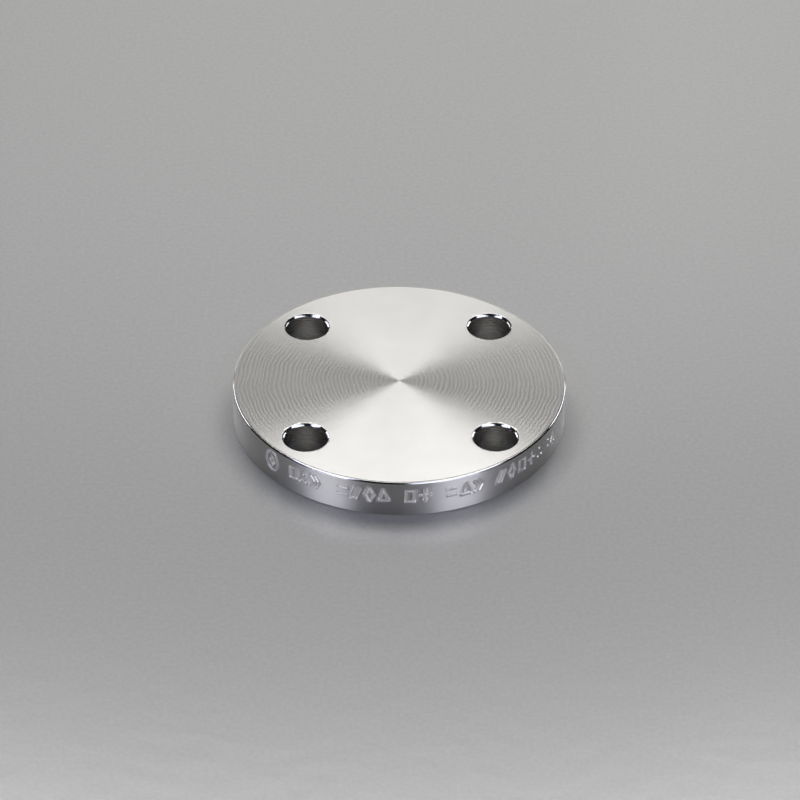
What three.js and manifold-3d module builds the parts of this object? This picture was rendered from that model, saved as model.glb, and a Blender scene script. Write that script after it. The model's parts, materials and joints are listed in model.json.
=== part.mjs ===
// A flat-faced blind flange: one turned steel disc that closes the end of a pipe, with a ring of drilled
// bolt holes. Both faces are flat, and every edge that a hand or a bolt meets is chamfered.
// Millimetres, +Z up. The origin is the centre of the back face, on which the flange lies.
import * as THREE from "three";
import { mergeVertices } from "three/addons/utils/BufferGeometryUtils.js";
import Module from "manifold-3d";

// Driving dimensions, in millimetres.
const OUTER_DIAMETER = 95;
const THICKNESS = 11.4;
const BOLT_CIRCLE_DIAMETER = 75;
const BOLT_HOLE_COUNT = 4;
const BOLT_HOLE_DIAMETER = 12; // clears an M10 bolt
const RIM_CHAMFER = 0.4;
const HOLE_CHAMFER = 0.6;

// How finely the round surfaces are faceted, in flat sides to the full circle.
const RIM_SIDES = 240;
const HOLE_SIDES = 72;

// The first hole is turned by half a pitch, so that the holes straddle the X and Y centre lines.
const HOLE_PITCH = (2 * Math.PI) / BOLT_HOLE_COUNT;
const FIRST_HOLE_ANGLE = HOLE_PITCH / 2;
const OVERCUT = 1; // how far a drill runs past each face
const FLATNESS = 0.001; // faces that lie this near to one plane are made into one

const wasm = await Module();
wasm.setup();

// A closed geometry as a solid that can be cut.
function solidOf(geometry) {
  const bare = geometry.clone();
  bare.deleteAttribute("normal");
  bare.deleteAttribute("uv");
  const merged = mergeVertices(bare);
  return new wasm.Manifold(
    new wasm.Mesh({
      numProp: 3,
      vertProperties: merged.attributes.position.array,
      triVerts: new Uint32Array(merged.index.array),
    }),
  );
}

// The same solid with each flat face triangulated afresh, without the lines that its making left across it.
function tidied(solid) {
  return solid.asOriginal().simplify(FLATNESS);
}

// A solid as a geometry with flat-shaded faces.
function geometryOf(solid) {
  const mesh = solid.getMesh();
  const geometry = new THREE.BufferGeometry();
  geometry.setAttribute("position", new THREE.BufferAttribute(mesh.vertProperties, 3));
  geometry.setIndex(new THREE.BufferAttribute(mesh.triVerts, 1));
  const faceted = geometry.toNonIndexed();
  faceted.computeVertexNormals();
  return faceted;
}

// A solid of revolution about Z, from [radius, height] pairs that run up from the axis and back to it.
function turned(profile, sides) {
  const points = profile.map(([radius, height]) => new THREE.Vector2(radius, height));
  return new THREE.LatheGeometry(points, sides).rotateX(Math.PI / 2);
}

// The disc as it comes off the lathe, with a chamfer round each face.
function turnedBlank() {
  const radius = OUTER_DIAMETER / 2;
  return turned(
    [
      [0, 0],
      [radius - RIM_CHAMFER, 0],
      [radius, RIM_CHAMFER],
      [radius, THICKNESS - RIM_CHAMFER],
      [radius - RIM_CHAMFER, THICKNESS],
      [0, THICKNESS],
    ],
    RIM_SIDES,
  );
}

// What the drill and the countersinks take out for one bolt hole. Each countersink carries on at its own
// slope past the face.
function boltHoleCutter() {
  const radius = BOLT_HOLE_DIAMETER / 2;
  const mouthRadius = radius + HOLE_CHAMFER + OVERCUT;
  return turned(
    [
      [0, -OVERCUT],
      [mouthRadius, -OVERCUT],
      [radius, HOLE_CHAMFER],
      [radius, THICKNESS - HOLE_CHAMFER],
      [mouthRadius, THICKNESS + OVERCUT],
      [0, THICKNESS + OVERCUT],
    ],
    HOLE_SIDES,
  );
}

// The blank with all its bolt holes drilled.
function drilledDisc() {
  let disc = tidied(solidOf(turnedBlank()));
  for (let i = 0; i < BOLT_HOLE_COUNT; i += 1) {
    const angle = FIRST_HOLE_ANGLE + i * HOLE_PITCH;
    const cutter = boltHoleCutter().translate(
      (BOLT_CIRCLE_DIAMETER / 2) * Math.cos(angle),
      (BOLT_CIRCLE_DIAMETER / 2) * Math.sin(angle),
      0,
    );
    disc = disc.subtract(solidOf(cutter));
  }
  return geometryOf(tidied(disc));
}

const stainlessSteel = new THREE.MeshStandardMaterial({
  color: 0xc9c8c4,
  metalness: 1,
  roughness: 0.3,
});

const flangeDisc = new THREE.Mesh(drilledDisc(), stainlessSteel);
flangeDisc.name = "flange_disc";

const blindFlange = new THREE.Group();
blindFlange.add(flangeDisc);

export default blindFlange;
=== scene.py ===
import bisect
import json
import math
import random

import bmesh
import bpy
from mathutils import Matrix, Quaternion, Vector

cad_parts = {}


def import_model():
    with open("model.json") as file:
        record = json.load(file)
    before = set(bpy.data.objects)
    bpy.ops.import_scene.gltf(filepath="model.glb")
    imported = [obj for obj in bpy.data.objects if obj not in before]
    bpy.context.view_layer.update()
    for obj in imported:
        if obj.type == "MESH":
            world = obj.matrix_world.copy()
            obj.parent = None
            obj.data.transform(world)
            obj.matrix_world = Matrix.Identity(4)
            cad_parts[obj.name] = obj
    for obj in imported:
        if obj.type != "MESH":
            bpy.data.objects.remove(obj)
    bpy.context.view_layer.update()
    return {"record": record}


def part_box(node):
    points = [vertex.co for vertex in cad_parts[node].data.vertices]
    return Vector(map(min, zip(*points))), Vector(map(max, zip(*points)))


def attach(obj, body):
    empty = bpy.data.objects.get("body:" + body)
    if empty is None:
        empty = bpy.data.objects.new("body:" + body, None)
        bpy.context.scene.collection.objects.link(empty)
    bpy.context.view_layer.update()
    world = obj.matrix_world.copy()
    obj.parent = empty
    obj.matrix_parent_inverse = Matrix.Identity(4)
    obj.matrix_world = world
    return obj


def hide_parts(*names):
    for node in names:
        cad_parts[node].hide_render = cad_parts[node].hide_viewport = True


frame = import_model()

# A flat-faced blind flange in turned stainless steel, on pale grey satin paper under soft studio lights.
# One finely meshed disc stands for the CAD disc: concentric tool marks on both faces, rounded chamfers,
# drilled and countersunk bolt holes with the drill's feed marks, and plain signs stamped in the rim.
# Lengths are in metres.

MM = 0.001

# ---------------------------------------------------------------- sizes, from the CAD model

disc_low, disc_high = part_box("flange_disc")
OUTER_RADIUS = (disc_high.x - disc_low.x) / 2
BACK_HEIGHT = disc_low.z
FACE_HEIGHT = disc_high.z
MID_HEIGHT = (BACK_HEIGHT + FACE_HEIGHT) / 2

# The bolt holes stand where the record's openings are.
HOLE_CENTRES = []
for opening in frame["record"]["physics"]["openings"]:
    low_corner, high_corner = (Vector(corner) for corner in opening["box_m"])
    HOLE_CENTRES.append((low_corner + high_corner) / 2)

HOLE_RADIUS = 6 * MM
HOLE_CHAMFER = 0.6 * MM
RIM_CHAMFER = 0.4 * MM
RIM_EDGE_ROUND = 0.15 * MM  # the radius that deburring leaves on the edges of the rim's chamfer
HOLE_EDGE_ROUND = 0.1 * MM  # and on those of a hole's chamfer
EDGE_STEPS = 3  # flat steps round each of those edges

# Tool marks: how far the tool moves each turn, and how deep a furrow it leaves.
FACE_FEED, FACE_FURROW = 1.15 * MM, 0.006 * MM
BACK_FEED, BACK_FURROW = 1.5 * MM, 0.030 * MM
BORE_FEED, BORE_FURROW = 0.9 * MM, 0.020 * MM
FURROW_STEPS = 4
CENTRE_PIP = 0.7 * MM  # the radius of the small cone left where the tool reached the centre
DRILL_OVERRUN = 1 * MM  # how far the drill runs past each face

# The stamped marks on the rim.
MARK_HEIGHT = 4.4 * MM
MARK_WIDTH = 3.3 * MM
MARK_PITCH = 3.9 * MM
MARK_STROKE = 0.9 * MM
MARK_DEPTH = 0.60 * MM
MARK_BURR = 0.06 * MM  # how high the metal rises beside a stroke
BURR_REACH = 1.8  # where it is level again, in half strokes from a stroke's middle
MARK_SUNK = MARK_DEPTH / 6  # a face of the rim that is sunk deeper than this is part of a mark
MARK_LEVEL = 0.61  # how far up the rim the middles of the marks lie, as a part of the thickness
MARK_SHIFT = 0.15 * MM  # how far a mark may stand off its place
MARK_TILT = 0.08  # how far it may lean over, as a part of its height
LIGHTEST_STRIKE = 0.55  # how deep the lightest mark is, as a part of the full depth
UNEVEN_STRIKE = 0.35  # how much harder the stamp may hit on one side than in the middle
NET_ROW = 0.14 * MM  # the height of a row in the fine net of vertices round the marks

# Where each series of random draws starts.
FACE_SEED = 3
BACK_SEED = 5
MARK_SEED = 11
FIRST_BORE_SEED = 20

# Round the axis, places are counted in ticks, so that rings of different fineness meet exactly.
TICKS = 2160
RIM_SIDES = 240
HOLE_SIDES = 64
FEWEST_SIDES = 30
THINNING = 0.55  # the part of the disc's radius inside which a ring has half as many sides
TICK_LENGTH = math.tau * OUTER_RADIUS / TICKS

# The surfaces that have a material of their own.
ZONES = ["gasket_face", "rim", "edges", "bores", "back_face", "marks"]


# ---------------------------------------------------------------- mesh building

def ring(bm, radius, height, sides):
    """A ring of vertices about the Z axis, as a dictionary from tick to vertex."""
    step = TICKS // sides
    made = {}
    for tick in range(0, TICKS, step):
        angle = math.tau * tick / TICKS
        made[tick] = bm.verts.new((radius * math.cos(angle), radius * math.sin(angle), height))
    return made


def bridge(bm, one, other, zone):
    """Faces between two rings. Each tick of the coarser ring is also in the finer one."""
    coarse, fine = sorted((one, other), key=len)
    starts = sorted(coarse)
    fine_ticks = sorted(fine) + [TICKS]
    for start, end in zip(starts, starts[1:] + [TICKS]):
        first = bisect.bisect_left(fine_ticks, start)
        last = bisect.bisect_right(fine_ticks, end)
        side = [fine[tick % TICKS] for tick in fine_ticks[first:last]]
        face = bm.faces.new([coarse[start], coarse[end % TICKS]] + side[::-1])
        face.material_index = zone


def fan(bm, edge, height, zone):
    """Closes a ring with triangles to a point on the axis."""
    apex = bm.verts.new((0, 0, height))
    ticks = sorted(edge)
    for start, end in zip(ticks, ticks[1:] + ticks[:1]):
        bm.faces.new([edge[start], edge[end], apex]).material_index = zone


def sides_at(radius, finest):
    """How many sides a ring of that radius needs. It halves towards the axis."""
    sides = finest
    while sides > FEWEST_SIDES and radius < OUTER_RADIUS * THINNING * sides / finest:
        sides //= 2
    return sides


def furrows(start, end, feed, depth, seed):
    """[distance, depth] pairs along a turned surface, one shallow furrow for each turn of the work.
    The furrows differ a little in width and depth, as real ones do."""
    rng = random.Random(seed)
    count = max(1, round((end - start) / feed))
    widths = [rng.uniform(0.85, 1.15) for _ in range(count)]
    scale = (end - start) / sum(widths)
    pairs = []
    place = start
    for width in widths:
        bottom = depth * rng.uniform(0.6, 1.25)
        for step in range(FURROW_STEPS):
            part = step / FURROW_STEPS
            pairs.append((place + part * width * scale, bottom * 4 * part * (1 - part)))
        place += width * scale
    return pairs


def chamfer_reach(size, round_radius):
    """How far a 45 degree chamfer with rounded edges reaches from its corner, along either side."""
    return size + round_radius * math.tan(math.pi / 8)


def rounded_chamfer(size, round_radius):
    """[inward, downward] pairs over a 45 degree chamfer between a flat top and an upright side, with both
    of its edges rounded. Inward is measured from the side, and downward from the top."""
    upper = []
    for step in range(EDGE_STEPS + 1):
        turn = math.pi / 4 * step / EDGE_STEPS
        inward = chamfer_reach(size, round_radius) - round_radius * math.sin(turn)
        downward = round_radius * (1 - math.cos(turn))
        upper.append((inward, downward))
    # The chamfer is symmetric, so the lower edge is the upper one mirrored.
    return upper + [(downward, inward) for inward, downward in upper[::-1]]


def turned_face(bm, height, outward, finest, feed, depth, seed, zone):
    """A turned face at that height. outward is 1 for up and -1 for down. Returns its outer ring."""
    edge = OUTER_RADIUS - chamfer_reach(RIM_CHAMFER, RIM_EDGE_ROUND)
    pairs = furrows(CENTRE_PIP, edge, feed, depth, seed)
    inner = ring(bm, CENTRE_PIP, height, sides_at(CENTRE_PIP, finest))
    fan(bm, inner, height - outward * depth, zone)
    for radius, down in pairs[1:]:
        outer = ring(bm, radius, height - outward * down, sides_at(radius, finest))
        bridge(bm, inner, outer, zone)
        inner = outer
    return inner


def chamfered_edge(bm, previous, height, outward):
    """The rounded chamfer round one face, from the face's last ring. Returns the rim's first ring."""
    for inward, downward in rounded_chamfer(RIM_CHAMFER, RIM_EDGE_ROUND):
        following = ring(bm, OUTER_RADIUS - inward, height - outward * downward, RIM_SIDES)
        bridge(bm, previous, following, ZONES.index("edges"))
        previous = following
    return previous


# ---------------------------------------------------------------- stamped marks

def closed(*points):
    """The strokes of a closed outline."""
    return list(zip(points, points[1:] + points[:1]))


CIRCLE = [(math.cos(math.tau * step / 16), math.sin(math.tau * step / 16)) for step in range(16)]

# Plain signs, not letters. Each is a list of strokes, as lines in a square from (-1, -1) to (1, 1).
SIGNS = {
    "badge": closed(*CIRCLE) + closed((0, -0.5), (0.4, 0), (0, 0.5), (-0.4, 0)),
    "square": closed((-0.7, -0.8), (0.7, -0.8), (0.7, 0.8), (-0.7, 0.8)),
    "triangle": closed((-0.8, -0.8), (0.8, -0.8), (0, 0.9)),
    "diamond": closed((0, -1), (0.7, 0), (0, 1), (-0.7, 0)),
    "plus": [((-0.8, 0), (0.8, 0)), ((0, -0.8), (0, 0.8))],
    "bars": [((-0.7, -0.5), (0.7, -0.5)), ((-0.7, 0.5), (0.7, 0.5))],
    "dots": [((-0.6, -0.6), (-0.5, -0.6)), ((0.5, -0.6), (0.6, -0.6)), ((0, 0.5), (0, 0.6))],
    "slashes": [((-0.7, -0.8), (0, 0.8)), ((0, -0.8), (0.7, 0.8))],
    "arrows": [
        ((-0.7, -0.8), (0, 0)), ((0, 0), (-0.7, 0.8)),
        ((0, -0.8), (0.7, 0)), ((0.7, 0), (0, 0.8)),
    ],
}

# The groups of marks from left to right, seen from the front: where the group starts, in degrees round the
# rim from the front, how large its marks are, and the marks.
MARK_GROUPS = [
    (-49, 1.4, ["badge"]),
    (-39, 1.0, ["square", "dots", "arrows"]),
    (-20, 1.0, ["bars", "slashes", "diamond", "triangle"]),
    (3, 1.0, ["square", "plus"]),
    (17.4, 1.0, ["bars", "triangle", "arrows"]),
    (36, 1.0, ["slashes", "diamond", "square", "plus", "dots", "bars", "triangle"]),
]


def stamped_marks():
    """Every stroke, as (start, end, struck), with points as (distance round the rim, height) and struck as
    a part of the full depth. Each mark stands a little off its place and leans, as if stamped by hand."""
    rng = random.Random(MARK_SEED)
    strokes = []
    level = BACK_HEIGHT + (FACE_HEIGHT - BACK_HEIGHT) * MARK_LEVEL
    for start_angle, size, names in MARK_GROUPS:
        for index, name in enumerate(names):
            place = math.radians(start_angle) * OUTER_RADIUS + index * MARK_PITCH
            centre = Vector((
                place + rng.uniform(-MARK_SHIFT, MARK_SHIFT),
                level + rng.uniform(-MARK_SHIFT, MARK_SHIFT),
            ))
            half = Vector((MARK_WIDTH, MARK_HEIGHT)) / 2 * size
            tilt = rng.uniform(-MARK_TILT, MARK_TILT)
            struck = rng.uniform(LIGHTEST_STRIKE, 1.0)
            lean = rng.uniform(-UNEVEN_STRIKE, UNEVEN_STRIKE)
            for ends in SIGNS[name]:
                points = []
                for across, up in ends:
                    flat = Vector((across * half.x, up * half.y))
                    turned = Vector((flat.x - tilt * flat.y, flat.y + tilt * flat.x))
                    points.append(centre + turned)
                middle = (ends[0][0] + ends[1][0]) / 2
                strokes.append((points[0], points[1], struck * (1 + lean * middle)))
    return strokes


def distance_to_stroke(point, start, end):
    """How far a point is from the nearest point of a stroke."""
    along = end - start
    part = max(0.0, min(1.0, (point - start).dot(along) / along.length_squared))
    return (point - start - along * part).length


def stamp_offset(point, strokes):
    """How far the rim's surface moves out at a point: in along a stroke, and a little out beside it."""
    offset = 0.0
    for start, end, struck in strokes:
        away = distance_to_stroke(point, start, end) / (MARK_STROKE / 2)
        if away < 1:
            offset = min(offset, -MARK_DEPTH * struck * (1 - away ** 4))
        elif away < BURR_REACH and offset >= 0:
            rise = math.sin(math.pi * (away - 1) / (BURR_REACH - 1))
            offset = max(offset, MARK_BURR * struck * rise)
    return offset


def strokes_by_column(strokes, side):
    """The strokes near each column of the rim, which is as wide as one of the rim's sides."""
    by_column = {}
    for start, end, struck in strokes:
        first = math.floor((min(start.x, end.x) - MARK_STROKE) / TICK_LENGTH / side)
        last = math.floor((max(start.x, end.x) + MARK_STROKE) / TICK_LENGTH / side)
        for column in range(first, last + 1):
            by_column.setdefault(column, []).append((start, end, struck))
    return by_column


def rim_row(bm, height, near_column, side):
    """A ring of vertices round the rim at that height, closer together in the columns with strokes."""
    front = -TICKS // 4  # the tick that faces the front
    made = {}
    for column in range(-RIM_SIDES // 2, RIM_SIDES // 2):
        near = near_column.get(column, [])
        for step in range(side if near else 1):
            tick = column * side + step
            point = Vector((tick * TICK_LENGTH, height))
            # A column's first vertex is also its neighbour's last one.
            shared = near + near_column.get(column - 1, []) if step == 0 else near
            radius = OUTER_RADIUS + stamp_offset(point, shared)
            angle = math.tau * (tick + front) / TICKS
            place = (radius * math.cos(angle), radius * math.sin(angle), height)
            made[(tick + front) % TICKS] = bm.verts.new(place)
    return made


def rim_surface(bm, lower, upper):
    """The upright rim between two rings, with a fine net of vertices where the marks are stamped."""
    strokes = stamped_marks()
    side = TICKS // RIM_SIDES
    near_column = strokes_by_column(strokes, side)
    lowest = min(min(start.y, end.y) for start, end, _ in strokes) - MARK_STROKE
    highest = max(max(start.y, end.y) for start, end, _ in strokes) + MARK_STROKE
    rows = math.ceil((highest - lowest) / NET_ROW)
    previous = lower
    for row in range(rows + 1):
        following = rim_row(bm, lowest + (highest - lowest) * row / rows, near_column, side)
        bridge(bm, previous, following, ZONES.index("rim"))
        previous = following
    bridge(bm, previous, upper, ZONES.index("rim"))
    give_marks_their_zone(bm)


def give_marks_their_zone(bm):
    """The stamped strokes have a zone of their own: the faces of the rim that are sunk into it."""
    # The marks' zone gets a lighter steel than the rim: a painted highlight on the strokes.
    for face in bm.faces:
        sunk = max(OUTER_RADIUS - vertex.co.xy.length for vertex in face.verts)
        if face.material_index == ZONES.index("rim") and sunk > MARK_SUNK:
            face.material_index = ZONES.index("marks")


# ---------------------------------------------------------------- the disc

def turned_disc(materials):
    """The disc turned and stamped, with no holes yet."""
    bm = bmesh.new()
    face_edge = turned_face(
        bm, FACE_HEIGHT, outward=1, finest=RIM_SIDES, feed=FACE_FEED, depth=FACE_FURROW, seed=FACE_SEED,
        zone=ZONES.index("gasket_face"),
    )
    rim_top = chamfered_edge(bm, face_edge, FACE_HEIGHT, 1)
    back_edge = turned_face(
        bm, BACK_HEIGHT, outward=-1, finest=RIM_SIDES // 2, feed=BACK_FEED, depth=BACK_FURROW,
        seed=BACK_SEED, zone=ZONES.index("back_face"),
    )
    rim_bottom = chamfered_edge(bm, back_edge, BACK_HEIGHT, -1)
    rim_surface(bm, rim_bottom, rim_top)
    return as_object(bm, "turned_disc", materials)


def bore_profile(index):
    """The outline of one bolt hole's cutter, from below the back face to above the gasket face, as
    (radius, height, zone of the band that ends here)."""
    edge = ZONES.index("edges")
    bore = ZONES.index("bores")
    depth = chamfer_reach(HOLE_CHAMFER, HOLE_EDGE_ROUND)
    wall = furrows(BACK_HEIGHT + depth, FACE_HEIGHT - depth, BORE_FEED, BORE_FURROW, FIRST_BORE_SEED + index)
    mouth = rounded_chamfer(HOLE_CHAMFER, HOLE_EDGE_ROUND)
    lower = [(HOLE_RADIUS + outward, BACK_HEIGHT + down, edge) for outward, down in mouth]
    upper = [(HOLE_RADIUS + outward, FACE_HEIGHT - down, edge) for outward, down in mouth[::-1]]
    profile = [(lower[0][0], BACK_HEIGHT - DRILL_OVERRUN, edge)]
    profile += lower
    profile += [(HOLE_RADIUS + outward, height, bore) for height, outward in wall[1:]]
    profile += [(upper[0][0], upper[0][1], bore)] + upper[1:]
    profile += [(upper[-1][0], FACE_HEIGHT + DRILL_OVERRUN, edge)]
    return profile


def circle_at(bm, centre, radius, height):
    """A ring of vertices about a bolt hole's axis, as a list."""
    made = []
    for side in range(HOLE_SIDES):
        angle = math.tau * side / HOLE_SIDES
        place = (centre.x + radius * math.cos(angle), centre.y + radius * math.sin(angle), height)
        made.append(bm.verts.new(place))
    return made


def bore_cutter(centre, index, materials):
    """What the drill and the countersinks take out for one bolt hole."""
    bm = bmesh.new()
    rings = []
    for radius, height, zone in bore_profile(index):
        rings.append((circle_at(bm, centre, radius, height), zone))
    for (below, _), (above, zone) in zip(rings, rings[1:]):
        for side in range(HOLE_SIDES):
            after = (side + 1) % HOLE_SIDES
            bm.faces.new([below[side], below[after], above[after], above[side]]).material_index = zone
    bm.faces.new(rings[0][0][::-1])
    bm.faces.new(rings[-1][0])
    return as_object(bm, f"cutter_{index}", materials)


def as_object(bm, name, materials):
    """The mesh being built, as an object in the scene."""
    bmesh.ops.recalc_face_normals(bm, faces=bm.faces)
    mesh = bpy.data.meshes.new(name)
    for material in materials:
        mesh.materials.append(material)
    bm.to_mesh(mesh)
    bm.free()
    made = bpy.data.objects.new(name, mesh)
    bpy.context.scene.collection.objects.link(made)
    return made


def cut(blank, cutters):
    """Takes the cutters out of the blank, and removes them."""
    for cutter in cutters:
        modifier = blank.modifiers.new("cut", "BOOLEAN")
        modifier.operation = "DIFFERENCE"
        modifier.solver = "MANIFOLD"
        modifier.object = cutter
    evaluated = blank.evaluated_get(bpy.context.evaluated_depsgraph_get())
    mesh = bpy.data.meshes.new_from_object(evaluated)
    blank.modifiers.clear()
    blank.data = mesh
    for cutter in cutters:
        bpy.data.objects.remove(cutter)


# ---------------------------------------------------------------- materials

class Nodes:
    """A short way to write a material's nodes."""

    def __init__(self, material):
        material.use_nodes = True
        self.tree = material.node_tree
        self.tree.nodes.clear()

    def add(self, kind, inputs=None, **settings):
        node = self.tree.nodes.new(kind)
        for name, value in settings.items():
            setattr(node, name, value)
        for name, value in (inputs or {}).items():
            if isinstance(value, bpy.types.NodeSocket):
                self.tree.links.new(value, node.inputs[name])
            else:
                node.inputs[name].default_value = value
        return node

    def math(self, operation, first, second=0.0):
        return self.add("ShaderNodeMath", {0: first, 1: second}, operation=operation).outputs[0]

    def mapped(self, value, low, high):
        """A value from 0 to 1 as one from low to high."""
        inputs = {"Value": value, "To Min": low, "To Max": high}
        return self.add("ShaderNodeMapRange", inputs).outputs[0]


def distance_across_marks(nodes, place, coordinate):
    """How far a point is across the tool marks: its distance from the axis on a face, or its height."""
    if coordinate == "height":
        return nodes.add("ShaderNodeSeparateXYZ", {0: place}).outputs["Z"]
    flat = nodes.add("ShaderNodeVectorMath", {0: place, 1: (1, 1, 0)}, operation="MULTIPLY").outputs[0]
    return nodes.add("ShaderNodeVectorMath", {0: flat}, operation="LENGTH").outputs["Value"]


def noise_along(nodes, distance, spacing, detail):
    """Noise that varies along one distance only, from 0 to 1."""
    inputs = {"W": nodes.math("DIVIDE", distance, spacing), "Scale": 1.0, "Detail": detail}
    return nodes.add("ShaderNodeTexNoise", inputs, noise_dimensions="1D").outputs[0]


def chatter_wave(nodes, across, patches, feed):
    """A wave from -1 to 1, once each feed. Its rings wander, and patches push them out of round."""
    wander = noise_along(nodes, across, 6 * feed, 2.0)
    turns = nodes.math("ADD", nodes.math("DIVIDE", across, feed), nodes.math("MULTIPLY", wander, 1.5))
    turns = nodes.math("ADD", turns, nodes.math("MULTIPLY", patches, 2.5))
    return nodes.math("SINE", nodes.math("MULTIPLY", turns, math.tau))


def steel(name, coordinate, colour, roughness, straightness, line_spacing, line_bump, feed=MM, chatter=0.0):
    """Turned steel. coordinate is "radius" for a face and "height" for a rim or a bore: fine tool marks lie
    across it, line_spacing apart. straightness, from 0 to 1, is how much they stretch a highlight. Once each
    feed it varies, by chatter."""
    material = bpy.data.materials.new(name)
    nodes = Nodes(material)
    place = nodes.add("ShaderNodeTexCoord").outputs["Object"]
    across = distance_across_marks(nodes, place, coordinate)
    fine = noise_along(nodes, across, line_spacing, 2.0)
    patches = nodes.add("ShaderNodeTexNoise", {"Vector": place, "Scale": 90.0, "Detail": 3.0}).outputs[0]
    tint = nodes.mapped(patches, 0.94, 1.06)
    shade = nodes.add("ShaderNodeVectorMath", {0: colour, "Scale": tint}, operation="SCALE").outputs[0]
    bump = nodes.add("ShaderNodeBump", {"Height": fine, "Distance": line_bump, "Strength": 1.0})
    wave = chatter_wave(nodes, across, patches, feed)
    tangent = nodes.add("ShaderNodeTangent", direction_type="RADIAL", axis="Z")
    metal = nodes.add("ShaderNodeBsdfPrincipled", {
        "Base Color": shade,
        "Metallic": 1.0,
        "Roughness": nodes.mapped(fine, roughness - 0.04, roughness + 0.04),
        "Anisotropic": nodes.math("ADD", nodes.math("MULTIPLY", wave, chatter), straightness),
        "Anisotropic Rotation": 0.25,
        "Tangent": tangent.outputs[0],
        "Normal": bump.outputs[0],
    })
    nodes.add("ShaderNodeOutputMaterial", {"Surface": metal.outputs[0]})
    return material


STEEL = (0.80, 0.79, 0.77)


def steel_zones():
    """One material for each of ZONES, in their order."""
    return [
        steel("turned_gasket_face", "radius", STEEL, 0.355, 0.78, 0.12 * MM, 0.003 * MM, FACE_FEED, 0.15),
        steel("turned_rim", "height", STEEL, 0.47, 0.96, 0.15 * MM, 0.002 * MM),
        # The chamfers' steel is lighter than the rest of the steel: a painted highlight along the edges.
        steel("deburred_edges_painted_highlight", "height", (0.92, 0.91, 0.89), 0.13, 0.0, 0.2 * MM, 0.001 * MM),
        # The bores' steel is darker than the rest of the steel: painted shade inside the bolt holes.
        steel("drilled_bores_painted_shade", "height", (0.47, 0.46, 0.45), 0.28, 0.0, 0.2 * MM, 0.006 * MM),
        steel("turned_back_face", "radius", STEEL, 0.38, 0.80, 0.2 * MM, 0.004 * MM),
        # The strokes' steel is lighter than the rim's steel: a painted highlight in the stamped marks.
        steel("stamped_marks", "height", (0.92, 0.91, 0.90), 0.42, 0.0, 0.3 * MM, 0.004 * MM),
    ]


def paper():
    """Pale grey satin paper with a faint grain."""
    material = bpy.data.materials.new("backdrop_paper")
    nodes = Nodes(material)
    place = nodes.add("ShaderNodeTexCoord").outputs["Object"]
    mottle = nodes.add("ShaderNodeTexNoise", {"Vector": place, "Scale": 160.0, "Detail": 4.0})
    grain = nodes.add("ShaderNodeTexNoise", {"Vector": place, "Scale": 800.0, "Detail": 1.0})
    level = nodes.mapped(grain.outputs[0], 0.49, 0.60)
    blue = nodes.math("MULTIPLY", level, 0.97)
    colour = nodes.add("ShaderNodeCombineColor", {0: level, 1: level, 2: blue})
    bump = nodes.add("ShaderNodeBump", {"Height": mottle.outputs[0], "Distance": 0.1 * MM, "Strength": 0.5})
    surface = nodes.add("ShaderNodeBsdfPrincipled", {
        "Base Color": colour.outputs[0],
        "Roughness": 0.25,
        "IOR": 2.1,
        "Normal": bump.outputs[0],
    })
    nodes.add("ShaderNodeOutputMaterial", {"Surface": surface.outputs[0]})
    return material


# ---------------------------------------------------------------- the piece

def build_disc():
    """The whole flange: the turned disc with its bolt holes cut."""
    materials = steel_zones()
    disc = turned_disc(materials)
    cut(disc, [bore_cutter(centre, index, materials) for index, centre in enumerate(HOLE_CENTRES)])
    disc.data.polygons.foreach_set("use_smooth", [True] * len(disc.data.polygons))
    disc.data.set_sharp_from_angle(angle=math.radians(30))
    return disc


disc = build_disc()
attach(disc, "root")
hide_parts("flange_disc")


# ---------------------------------------------------------------- stage, lights and camera

def direction(azimuth, elevation):
    """The direction from the object, with azimuth in degrees from the front towards the right."""
    turn = math.radians(azimuth)
    rise = math.radians(elevation)
    return Vector((math.sin(turn) * math.cos(rise), -math.cos(turn) * math.cos(rise), math.sin(rise)))


# Name, azimuth, elevation, distance, width, height, radiance and colour of each light, and how far it is
# rolled about its own axis where it is.
SOFTBOXES = [
    ("back_softbox", 180, 57, 0.8, 0.50, 0.22, 1.15, (1, 0.99, 0.95)),
    ("back_left_softbox", 216, 54, 0.8, 0.30, 0.25, 1.02, (1, 0.99, 0.96)),
    ("back_right_softbox", 144, 54, 0.8, 0.30, 0.25, 1.20, (1, 0.99, 0.96)),
    ("overhead_softbox", 180, 70, 0.5, 0.50, 0.21, 3.4, (1, 0.99, 0.99)),
    ("backdrop", 185, 28.5, 0.8, 1.10, 0.27, 0.40, (1, 0.985, 0.965)),
    ("backdrop_right", 148, 28.5, 0.8, 0.60, 0.27, 0.22, (1, 0.99, 0.965)),
    ("backdrop_foot", 180, 10.5, 0.8, 1.04, 0.21, 1.1, (1, 1, 1)),
    ("front_left_low", -44, 10, 0.8, 0.355, 0.27, 4.05, (0.91, 0.915, 1)),
    ("front_left_high", -58, 47, 0.8, 0.45, 0.20, 1.9, (0.70, 0.74, 1)),
    ("front_right_low", 36, 10, 0.8, 0.385, 0.27, 4.50, (0.88, 0.88, 1)),
    ("front_right_high", 42, 48, 0.8, 0.70, 0.20, 1.65, (0.78, 0.82, 1)),
    ("left_reflector", -127, 13, 0.8, 0.48, 0.055, 2.7, (0.9, 0.9, 1), 35),
    ("right_reflector", 126.5, 11.5, 0.8, 0.46, 0.055, 2.6, (0.9, 0.9, 1), -35),
]


# Flags keep these low lights off the floor, where their glare would hide the disc from a camera behind it.
FLAGGED = ["front_left_low", "front_right_low"]
disc_alone = bpy.data.collections.new("disc_alone")
disc_alone.objects.link(disc)


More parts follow.
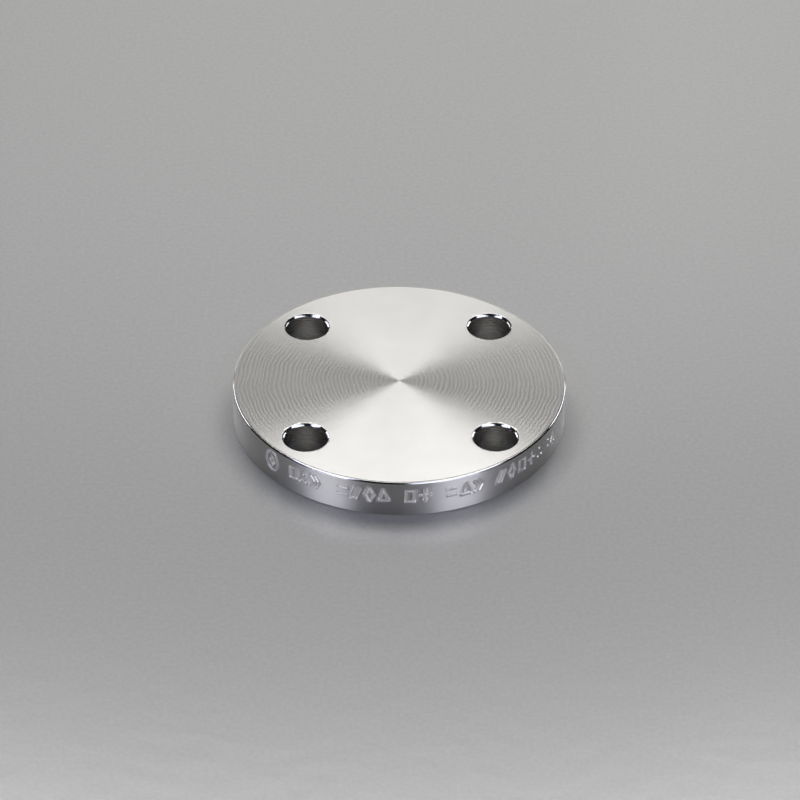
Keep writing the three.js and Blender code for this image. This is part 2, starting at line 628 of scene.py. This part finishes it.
def softbox(name, azimuth, elevation, distance, width, height, radiance, colour, roll=0):
    """A rectangular softbox that faces the object, as bright as radiance all over."""
    lamp = bpy.data.lights.new(name, "AREA")
    lamp.shape = "RECTANGLE"
    lamp.size = width
    lamp.size_y = height
    lamp.energy = radiance * math.pi * width * height
    lamp.color = colour
    holder = bpy.data.objects.new(name, lamp)
    away = direction(azimuth, elevation)
    holder.location = away * distance
    holder.rotation_mode = "QUATERNION"
    turn = Quaternion((0, 0, 1), math.radians(roll))
    holder.rotation_quaternion = away.to_track_quat("Z", "Y") @ turn
    holder.visible_camera = False
    if name in FLAGGED:
        holder.light_linking.receiver_collection = disc_alone
    bpy.context.scene.collection.objects.link(holder)


FLOOR_HALF = 3.0
FLOOR_GAP = 0.02 * MM


def floor():
    """A large flat floor, just clear of the disc's back face."""
    bm = bmesh.new()
    corners = ((-1, -1), (1, -1), (1, 1), (-1, 1))
    bm.faces.new([bm.verts.new((x * FLOOR_HALF, y * FLOOR_HALF, 0)) for x, y in corners])
    made = as_object(bm, "paper_floor", [paper()])
    made.location.z = BACK_HEIGHT - FLOOR_GAP


def world():
    """A nearly dark, faintly blue room."""
    made = bpy.data.worlds.new("studio_room")
    made.use_nodes = True
    background = made.node_tree.nodes["Background"]
    background.inputs["Color"].default_value = (0.85, 0.88, 1.0, 1.0)
    background.inputs["Strength"].default_value = 0.01
    bpy.context.scene.world = made


# Where the photograph's camera stood, and the point it aimed at.
CAMERA_AWAY = direction(-1.13, 36.73)
CAMERA_DISTANCE = 1.001
CAMERA_ROLL = math.radians(0.60)
CAMERA_LENS = 157.6
CAMERA_AIM = Vector((0.21 * MM, -1.53 * MM, MID_HEIGHT))


def camera():
    """The camera at the photograph's viewing angle."""
    made = bpy.data.objects.new("camera", bpy.data.cameras.new("camera"))
    made.data.sensor_width = 36
    made.data.lens = CAMERA_LENS
    made.data.clip_start = 0.05
    made.data.clip_end = 20
    made.location = CAMERA_AIM + CAMERA_AWAY * CAMERA_DISTANCE
    made.rotation_mode = "QUATERNION"
    roll = Quaternion((0, 0, 1), CAMERA_ROLL)
    made.rotation_quaternion = CAMERA_AWAY.to_track_quat("Z", "Y") @ roll
    bpy.context.scene.collection.objects.link(made)
    bpy.context.scene.camera = made


floor()
world()
for lamp in SOFTBOXES:
    softbox(*lamp)
camera()
bpy.context.scene.view_settings.view_transform = "Standard"
